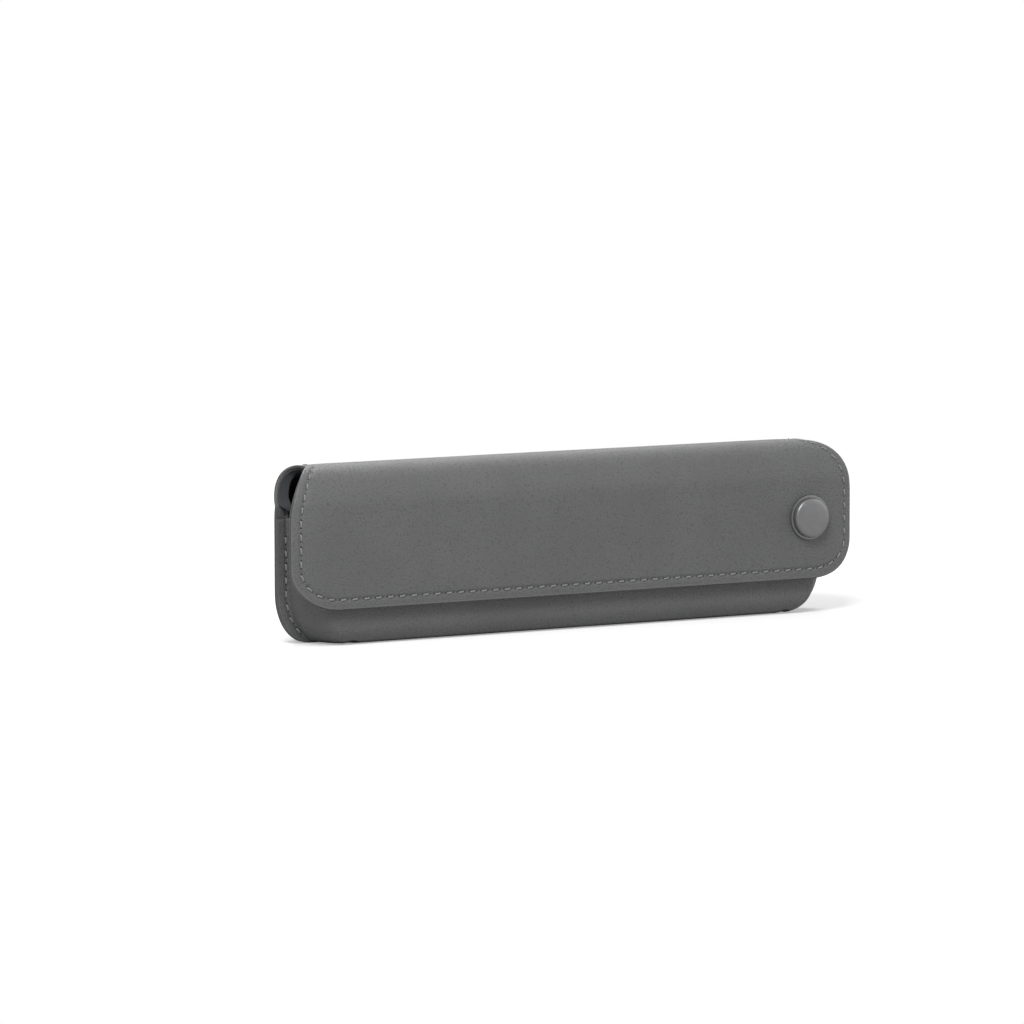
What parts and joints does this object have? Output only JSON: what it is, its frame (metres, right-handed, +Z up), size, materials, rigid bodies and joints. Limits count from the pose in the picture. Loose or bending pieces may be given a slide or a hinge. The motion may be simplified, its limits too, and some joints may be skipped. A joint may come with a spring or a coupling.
{
  "type": "electric toothbrush travel case",
  "caption": "Long soft leather flap pouch for an electric toothbrush, with a folded top, a wide snap-shut front flap, stitched ends, vent eyelets and elastic loops inside.",
  "frame": {"origin": "centre of the bounding box at the base the case stands on", "axes": "+X along the case to the end with the snap, +Y from the flap to the back, +Z up"},
  "size_m": [0.246, 0.041, 0.0669],
  "materials": {
    "leather": "fine-grained, matte, dark grey",
    "greyboard": "plain board",
    "lining": "plain-woven textile",
    "thread": "bonded sewing thread",
    "vent_metal": "dark lacquer",
    "snap_metal": "satin grey lacquer",
    "bright_metal": "plated steel",
    "elastic": "woven elastic webbing"
  },
  "bodies": {
    "pouch": {"pouch_leather": "leather", "pouch_lining": "lining", "front_board": "greyboard", "back_board": "greyboard", "base_board": "greyboard", "mouth_binding": "lining", "mouth_stitches": "thread", "vent_eyelet_left": "vent_metal", "vent_eyelet_right": "vent_metal", "vent_washer_left": "vent_metal", "vent_washer_right": "vent_metal", "handle_loop_left": "elastic", "handle_loop_right": "elastic", "head_loop": "elastic", "handle_loop_left_lower_tack": "thread", "handle_loop_left_upper_tack": "thread", "handle_loop_right_lower_tack": "thread", "handle_loop_right_upper_tack": "thread", "head_loop_lower_tack": "thread", "head_loop_upper_tack": "thread", "snap_stud": "bright_metal", "snap_stud_rivet": "bright_metal", "seam_stitches_front_left": "thread", "seam_stitches_back_left": "thread", "seam_stitches_front_right": "thread", "seam_stitches_back_right": "thread"},
    "fold": {"fold_leather": "leather", "fold_lining": "lining", "fold_stitches_left": "thread", "fold_stitches_right": "thread"},
    "flap": {"flap_leather": "leather", "flap_lining": "lining", "flap_stitches": "thread", "snap_cap": "snap_metal", "snap_collar": "snap_metal", "snap_socket": "bright_metal", "snap_spring": "bright_metal"}
  },
  "joints": [
    {"name": "fold_hinge", "type": "hinge", "parent": "pouch", "child": "fold", "pos_m": [0, 0.02055, 0.0513], "axis": [-1, 0, 0], "range_deg": [0, 110]},
    {"name": "flap_hinge", "type": "hinge", "parent": "fold", "child": "flap", "pos_m": [0, -0.01715, 0.0513], "axis": [-1, 0, 0], "range_deg": [0, 120]}
  ]
}
